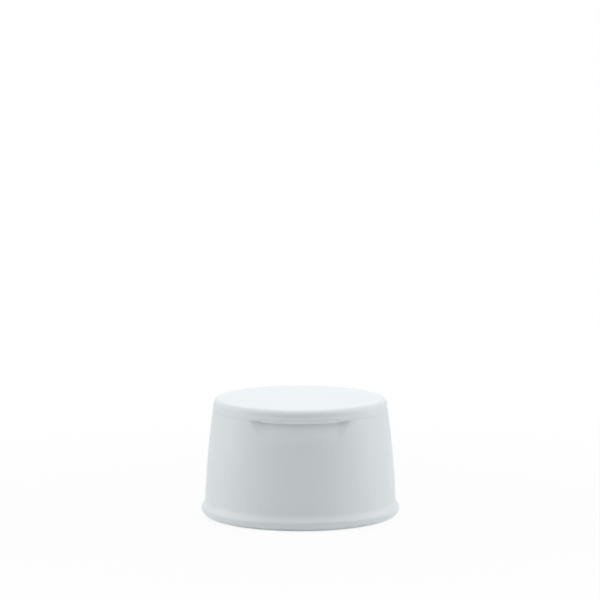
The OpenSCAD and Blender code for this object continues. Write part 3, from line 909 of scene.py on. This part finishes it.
@dataclass
class FlipLid:
    """The low lid with its thumb lip, plug, spout ring and hinge pad."""

    form: CapForm
    material: bpy.types.Material
    plate_z: float = 21.6
    inner_r: float = 15.42
    low_z: float = 20.62
    lip_half_w: float = 7.1
    lip_top_half_w: float = 9.5
    lip_low_z: float = 20.2
    lip_start_z: float = 21.4
    lip_out: float = 0.07
    lip_roll_w: float = 0.64
    lip_roll_h: float = 1
    edge_r: float = 0.03
    plug_bore_r: float = 0.55
    plug_tip_r: float = 1.15
    plug_root_r: float = 1.4
    plug_z: float = 19.0
    plug_root_z: float = 20.9
    ring_inner_r: float = 3.9
    ring_t: float = 0.8
    ring_z: float = 19.2
    pad_flat_h: float = 0.7
    pad_slope_h: float = 0.75
    notch_z: float = 21.5
    pieces: list[bpy.types.Object] = field(default_factory=list)

    def underside(self) -> list[tuple[float, float]]:
        """Outline under the plate, from the axis over the plug and ring to the side wall."""
        ring_r = self.ring_inner_r + self.ring_t
        tip, bore = self.plug_tip_r, self.plug_bore_r
        return [
            (0.0, self.plate_z),
            (bore - 0.1, self.plate_z),
            (bore, self.plate_z - 0.1),
            (bore, self.plug_z + 0.1),
            (bore + 0.1, self.plug_z),
            *arc_points((tip - 0.2, self.plug_z + 0.2), (0.2, 0.2), -90, -10, 4),
            (self.plug_root_r, self.plug_root_z),
            *arc_points((self.plug_root_r + 0.25, self.plate_z - 0.25), (0.25, 0.25), 180, 90, 4),
            *arc_points(
                (self.ring_inner_r - 0.25, self.plate_z - 0.25), (0.25, 0.25), 90, 0, 4
            ),
            (self.ring_inner_r, self.ring_z + 0.15),
            (self.ring_inner_r + 0.15, self.ring_z),
            (ring_r - 0.15, self.ring_z),
            (ring_r, self.ring_z + 0.15),
            *arc_points((ring_r + 0.25, self.plate_z - 0.25), (0.25, 0.25), 180, 90, 4),
            *arc_points((self.inner_r - 0.3, self.plate_z - 0.3), (0.3, 0.3), 90, 0, 4),
            (self.inner_r, self.low_z + 0.08),
            (self.inner_r + 0.08, self.low_z),
        ]

    def lip_reach(self, angles: np.ndarray, z: np.ndarray) -> np.ndarray:
        """How far the thumb lip stands out from the wall.

        Args:
            angles: Directions from +X, in radians.
            z: Heights.

        Returns:
            The distance in millimetres, which is zero away from the lip.
        """
        turn = angles + math.pi / 2.0
        turn = np.abs((turn + math.pi) % (2.0 * math.pi) - math.pi)
        x = np.where(turn < 1.2, self.form.wall(z) * np.sin(turn), 99.0)
        rise = np.clip((z - self.lip_low_z) / (self.lip_start_z - self.lip_low_z), 0.0, 1.0)
        edge_x = self.lip_half_w + (self.lip_top_half_w - self.lip_half_w) * rise
        inside = ease((edge_x - x) / 0.35 + 0.5)
        flare = (self.lip_start_z - z) / (self.lip_start_z - self.lip_low_z - self.lip_roll_h)
        return self.lip_out * ease(flare) * inside

    def lip_bottom(self, angles: np.ndarray) -> np.ndarray:
        """Height of the lid's outer lower edge, which drops at the thumb lip."""
        turn = angles + math.pi / 2.0
        turn = np.abs((turn + math.pi) % (2.0 * math.pi) - math.pi)
        x = np.where(turn < 1.2, self.form.wall(self.low_z) * np.sin(turn), 99.0)
        slant = (self.lip_top_half_w - self.lip_half_w) / (self.lip_start_z - self.lip_low_z)
        rise = soft_max((x - self.lip_half_w) / slant, np.zeros_like(x), 0.1)
        return np.minimum(self.lip_low_z + rise, self.low_z)

    def build_shell(self) -> None:
        """Builds the plate, side wall, lip, plug and ring as one turned wall."""
        form = self.form
        directions = form.columns()
        columns = len(directions)
        bottom = self.lip_bottom(directions)[:, None]
        hang = (self.low_z - bottom) / (self.low_z - self.lip_low_z)
        roll_w = self.edge_r + (self.lip_roll_w - self.edge_r) * hang
        roll_h = self.edge_r + (self.lip_roll_h - self.edge_r) * hang
        slot_z = form.seam_z + form.slot_half_h
        pad_z = slot_z + self.pad_flat_h
        split_z = self.lip_low_z + self.lip_roll_h + 0.15
        notch_edge = [self.notch_z - 0.005, self.notch_z + 0.005]
        rows = np.concatenate([spaced(split_z + 0.01, form.shoulder_z, 0.09), notch_edge])
        high = np.tile(np.unique(np.round(rows, 4)), (columns, 1))
        plain_z = self.low_z + self.edge_r
        slot_edge = [slot_z - 0.005, slot_z + 0.005]
        rows = np.sort(np.concatenate([spaced(plain_z, split_z, 0.07), slot_edge]))
        share = (rows - plain_z) / (split_z - plain_z)
        low = bottom + roll_h + share * (split_z - bottom - roll_h)
        z = np.concatenate([low, high], axis=1)
        angles = np.repeat(directions[:, None], z.shape[1], axis=1)
        wall = form.wall(z) + self.lip_reach(angles, z)
        rise = 1.0 - (z - pad_z) / self.pad_slope_h
        out = np.where(z < slot_z, 0.0, np.clip(rise, 0.0, 1.0))
        wall = form.pad(angles, wall, out)
        wall = np.where(z < self.notch_z, form.notch(angles, wall), wall)
        foot_r = wall[:, :1]
        inner_lip = foot_r - roll_w - 0.1 + 0.06 * hang
        t = np.linspace(0.0, 1.0, 10)[:-1]
        roll_r = foot_r - roll_w * (1.0 - t) * (1.0 - 0.7 * t)
        roll_z = bottom + roll_h * t * (0.8 + 0.2 * t)
        under_r = np.concatenate([inner_lip, roll_r], axis=1)
        under_z = np.concatenate([np.full_like(bottom, self.low_z), roll_z], axis=1)
        shoulder = arc_points(
            (form.shoulder_centre_r, form.shoulder_z),
            (form.edge_r, form.edge_r),
            form.shoulder_deg,
            90.0,
            14,
        )
        shoulder += [(r, form.height) for r in (14.0, 10.0, 6.0, 2.0, 0.0)]
        below_r, below_z = (np.tile(p, (columns, 1)) for p in np.array(self.underside()).T)
        over_r, over_z = (np.tile(p, (columns, 1)) for p in np.array(shoulder).T)
        radii = np.concatenate([below_r, under_r, wall, over_r], axis=1)
        heights = np.concatenate([below_z, under_z, z, over_z], axis=1)
        mesh = turned_mesh("lid_shell", directions, radii, heights, loop=False)
        finish_mesh(mesh, 38.0)
        self.pieces.append(add_piece(mesh, self.material))

    def build(self) -> list[bpy.types.Object]:
        """Builds the lid and puts it on its body.

        Returns:
            The pieces.
        """
        self.build_shell()
        for piece in self.pieces:
            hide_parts("lid")
            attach(piece, LID_BODY)
        return self.pieces


# ---------------------------------------------------------------- living hinge


@dataclass
class LivingHinge:
    """The two bending films and the snap strap between them."""

    form: CapForm
    material: bpy.types.Material
    film_t: float = 0.3
    film_w: float = 3.6
    film_x: float = 4.2
    strap_w: float = 4.0
    strap_t: float = 0.45
    strap_y: float = 16.213
    strap_low_z: float = 18.0
    strap_high_z: float = 21.5
    pieces: list[bpy.types.Object] = field(default_factory=list)

    def build_film(self, name: str, centre_x: float) -> bpy.types.Object:
        """Builds one film as a thin web folded half round.

        Args:
            name: The piece's name.
            centre_x: Place of the film's middle across the hinge.

        Returns:
            The film.
        """
        form = self.form
        turns = np.radians(np.linspace(-90.0, 90.0, 25))
        thin = self.film_t * (1.0 - 0.12 * np.cos(turns) ** 2)
        inner = form.slot_half_h + self.film_t - thin
        outer = np.full_like(inner, form.slot_half_h + self.film_t)
        half = self.film_w / 2.0
        section = [(r, t) for r, t in zip(outer, turns)] + [
            (r, t) for r, t in zip(inner[::-1], turns[::-1])
        ]
        stations = [-half, -half + 0.05, -half / 2, 0.0, half / 2, half - 0.05, half]
        verts = [
            (
                (centre_x + s) * MM,
                (form.pad_y + r * math.cos(t)) * MM,
                (form.seam_z + r * math.sin(t)) * MM,
            )
            for s in stations
            for r, t in section
        ]
        count = len(section)
        faces = [
            [a * count + b, a * count + (b + 1) % count, (a + 1) * count + (b + 1) % count, (a + 1) * count + b]
            for a in range(len(stations) - 1)
            for b in range(count)
        ]
        last = (len(stations) - 1) * count
        half_count = count // 2
        for b in range(half_count - 1):
            near, far = b, count - 1 - b
            faces.append([near, far, far - 1, near + 1])
            faces.append([last + near, last + near + 1, last + far - 1, last + far])
        mesh = bpy.data.meshes.new(name)
        mesh.from_pydata(verts, [], faces)
        mesh.update()
        finish_mesh(mesh, 35.0)
        return add_piece(mesh, self.material)

    def build_strap(self) -> bpy.types.Object:
        """Builds the snap strap as a slightly bowed strip.

        Returns:
            The strap.
        """
        half = self.strap_w / 2.0
        heights = spaced(self.strap_low_z, self.strap_high_z, 0.1)
        middle = (self.strap_low_z + self.strap_high_z) / 2.0
        reach = (self.strap_high_z - self.strap_low_z) / 2.0
        round_r = 0.12
        ring: list[tuple[float, float]] = []
        for sx, sy, start in ((1, 1, 0), (-1, 1, 90), (-1, -1, 180), (1, -1, 270)):
            ring += [
                (sx * (half - round_r) + p[0], sy * (self.strap_t / 2 - round_r) + p[1])
                for p in arc_points((0.0, 0.0), (round_r, round_r), start, start + 90, 3)
            ]
        verts = []
        for z in heights:
            bow = 1.0 - ((z - middle) / reach) ** 2
            thin = 1.0 - 0.25 * bow
            narrow = 1.0 - 0.06 * bow
            for x, y in ring:
                verts.append(
                    (
                        x * narrow * MM,
                        (self.strap_y + self.strap_t / 2 + y * thin) * MM,
                        z * MM,
                    )
                )
        count = len(ring)
        faces = [
            [a * count + b, a * count + (b + 1) % count, (a + 1) * count + (b + 1) % count, (a + 1) * count + b]
            for a in range(len(heights) - 1)
            for b in range(count)
        ]
        faces.append(list(range(count))[::-1])
        faces.append([(len(heights) - 1) * count + b for b in range(count)])
        mesh = bpy.data.meshes.new("snap_strap")
        mesh.from_pydata(verts, [], faces)
        mesh.update()
        finish_mesh(mesh, 50.0)
        return add_piece(mesh, self.material)

    def build(self) -> list[bpy.types.Object]:
        """Builds the films and the strap between base and lid.

        Returns:
            The pieces.
        """
        for node, side in (("left_hinge_film", -1.0), ("right_hinge_film", 1.0)):
            film = self.build_film("web_" + node, side * self.film_x)
            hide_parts(node)
            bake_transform(film)
            self.pieces.append(film)
        strap = self.build_strap()
        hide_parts("hinge_strap")
        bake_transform(strap)
        self.pieces.append(strap)
        return self.pieces


# ---------------------------------------------------------------- studio


@dataclass(frozen=True)
class SoftLamp:
    """One large soft lamp that looks at the cap."""

    name: str
    place: tuple[float, float, float]
    size: float
    power: float
    colour: tuple[float, float, float] = (1.0, 1.0, 1.0)

    def build(self, target: Vector) -> None:
        """Puts the lamp in the scene, turned to the target."""
        data = bpy.data.lights.new(self.name, "AREA")
        data.shape = "DISK"
        data.size = self.size
        data.energy = self.power
        data.color = self.colour
        lamp = bpy.data.objects.new(self.name, data)
        lamp.location = self.place
        lamp.rotation_mode = "QUATERNION"
        lamp.rotation_quaternion = (target - Vector(self.place)).to_track_quat("-Z", "Y")
        bpy.context.scene.collection.objects.link(lamp)


def seen_directly(tree: bpy.types.NodeTree) -> Socket:
    """Adds nodes that tell what the camera and reflections see from what lights the cap.

    Args:
        tree: The node tree of a material or of the world.

    Returns:
        A socket that is 1 for camera, glossy and transmission rays, and 0 for light.
    """
    path = tree.nodes.new("ShaderNodeLightPath")
    seen = path.outputs["Is Camera Ray"]
    for name in ("Is Glossy Ray", "Is Transmission Ray"):
        either = tree.nodes.new("ShaderNodeMath")
        either.operation = "MAXIMUM"
        tree.links.new(seen, either.inputs[0])
        tree.links.new(path.outputs[name], either.inputs[1])
        seen = either.outputs[0]
    return seen


@dataclass
class Studio:
    """White floor, soft surround, lamps and camera."""

    form: CapForm
    elevation_deg: float = 9.55
    distance: float = 0.762
    aside: float = -0.00007
    pixels_away: float = 3965.0
    centre_row: float = 456.35
    picture_rows: float = 600.0
    surround: float = 0.12
    surround_colour: tuple[float, float, float] = (0.96, 1.0, 1.0)
    floor_r: float = 6.0
    floor_albedo: float = 0.95
    floor_white: float = 0.9
    floor_near: float = 0.03
    floor_far: float = 0.14

    def lamps(self) -> Sequence[SoftLamp]:
        """The lamps, from the largest to the smallest."""
        return (
            SoftLamp("top softbox", (0.0, -0.1, 0.75), 0.9, 3.8),
            SoftLamp("rear softbox", (0.0, 0.8, 0.5), 0.8, 0.85),
            SoftLamp("left softbox", (-0.7, 0.1, 0.25), 0.6, 1.76),
            SoftLamp("right softbox", (0.7, 0.1, 0.25), 0.6, 1.86),
        )

    def build_world(self) -> None:
        """Makes the surround white to the camera and softer as light."""
        world = bpy.data.worlds.new("white surround")
        bpy.context.scene.world = world
        world.use_nodes = True
        nodes, links = world.node_tree.nodes, world.node_tree.links
        back = nodes["Background"]
        seen = seen_directly(world.node_tree)
        strength = nodes.new("ShaderNodeMapRange")
        links.new(seen, strength.inputs["Value"])
        strength.inputs["To Min"].default_value = self.surround
        strength.inputs["To Max"].default_value = 1.0
        links.new(strength.outputs["Result"], back.inputs["Strength"])
        tint = nodes.new("ShaderNodeMix")
        tint.data_type = "RGBA"
        links.new(seen, tint.inputs["Factor"])
        tint.inputs[6].default_value = (*self.surround_colour, 1.0)
        tint.inputs[7].default_value = (1.0, 1.0, 1.0, 1.0)
        links.new(tint.outputs[2], back.inputs["Color"])

    def build_floor(self) -> None:
        """Lays the white floor, which keeps the cap's soft shadow."""
        ring = [
            (self.floor_r * math.cos(a), self.floor_r * math.sin(a), -0.01 * MM)
            for a in np.radians(np.arange(0.0, 360.0, 5.0))
        ]
        mesh = bpy.data.meshes.new("studio_floor")
        mesh.from_pydata(ring, [], [list(range(len(ring)))])
        mesh.update()
        material = bpy.data.materials.new("white floor")
        material.use_nodes = True
        nodes, links = material.node_tree.nodes, material.node_tree.links
        shader = nodes["Principled BSDF"]
        shader.inputs["Base Color"].default_value = (*[self.floor_albedo] * 3, 1.0)
        shader.inputs["Roughness"].default_value = 0.9
        shader.inputs["Specular IOR Level"].default_value = 0.1
        glow = nodes.new("ShaderNodeEmission")
        away = nodes.new("ShaderNodeVectorMath")
        away.operation = "LENGTH"
        links.new(nodes.new("ShaderNodeTexCoord").outputs["Object"], away.inputs[0])
        whiter = nodes.new("ShaderNodeMapRange")
        whiter.interpolation_type = "SMOOTHSTEP"
        whiter.inputs["From Min"].default_value = self.floor_near
        whiter.inputs["From Max"].default_value = self.floor_far
        whiter.inputs["To Min"].default_value = self.floor_white
        whiter.inputs["To Max"].default_value = 1.0
        links.new(away.outputs["Value"], whiter.inputs["Value"])
        share = nodes.new("ShaderNodeMath")
        share.operation = "MULTIPLY"
        links.new(seen_directly(material.node_tree), share.inputs[0])
        links.new(whiter.outputs["Result"], share.inputs[1])
        blend = nodes.new("ShaderNodeMixShader")
        links.new(share.outputs[0], blend.inputs[0])
        links.new(shader.outputs[0], blend.inputs[1])
        links.new(glow.outputs[0], blend.inputs[2])
        clear = nodes.new("ShaderNodeBsdfTransparent")
        under = nodes.new("ShaderNodeMixShader")
        links.new(nodes.new("ShaderNodeNewGeometry").outputs["Backfacing"], under.inputs[0])
        links.new(blend.outputs[0], under.inputs[1])
        links.new(clear.outputs[0], under.inputs[2])
        links.new(under.outputs[0], nodes["Material Output"].inputs["Surface"])
        floor = bpy.data.objects.new("studio_floor", mesh)
        mesh.materials.append(material)
        bpy.context.scene.collection.objects.link(floor)

    def build_camera(self) -> None:
        """Places the camera at the photograph's height above the cap."""
        centre = Vector((self.aside, 0.0, self.form.height / 2.0 * MM))
        lift = math.radians(self.elevation_deg)
        back = Vector((0.0, -math.cos(lift), math.sin(lift)))
        down = math.atan((self.centre_row - self.picture_rows / 2.0) / self.pixels_away)
        aim = lift - down
        data = bpy.data.cameras.new("studio camera")
        data.sensor_width = 36.0
        data.lens = self.pixels_away / self.picture_rows * data.sensor_width
        data.clip_start, data.clip_end = 0.01, 50.0
        camera = bpy.data.objects.new("studio camera", data)
        camera.location = centre + back * self.distance
        look = Vector((0.0, math.cos(aim), -math.sin(aim)))
        camera.rotation_mode = "QUATERNION"
        camera.rotation_quaternion = look.to_track_quat("-Z", "Y")
        bpy.context.scene.collection.objects.link(camera)
        bpy.context.scene.camera = camera

    def build(self) -> None:
        """Builds the whole studio."""
        target = Vector((0.0, 0.0, self.form.height / 2.0 * MM))
        for lamp in self.lamps():
            lamp.build(target)
        self.build_world()
        self.build_floor()
        self.build_camera()
        bpy.context.scene.view_settings.view_transform = "Standard"


# ---------------------------------------------------------------- the whole scene


def main() -> None:
    """Builds the cap and its studio, and reports each piece."""
    logging.basicConfig(level=logging.INFO, format="%(name)s: %(message)s")
    form = CapForm()
    group = moulded_surface_group()
    outside = MouldedFinish("satin white plastic").material(group)
    lid = MouldedFinish("satin white lid plastic", ripple_size=9.0).material(group)
    inside = MouldedFinish(
        "smooth white inner plastic", roughness=0.34, grain_depth=0.15
    ).material(group)
    film = MouldedFinish(
        "drawn white hinge plastic", colour=(0.9, 0.925, 0.93), roughness=0.5, grain_size=0.12
    ).material(group)
    made = [
        *CapBase(form, outside, inside).build(),
        *FlipLid(form, lid).build(),
        *LivingHinge(form, film).build(),
    ]
    Studio(form).build()
    for piece in made:
        log.info("%s: %d faces", piece.name, len(piece.data.polygons))


if __name__ == "__main__":
    main()
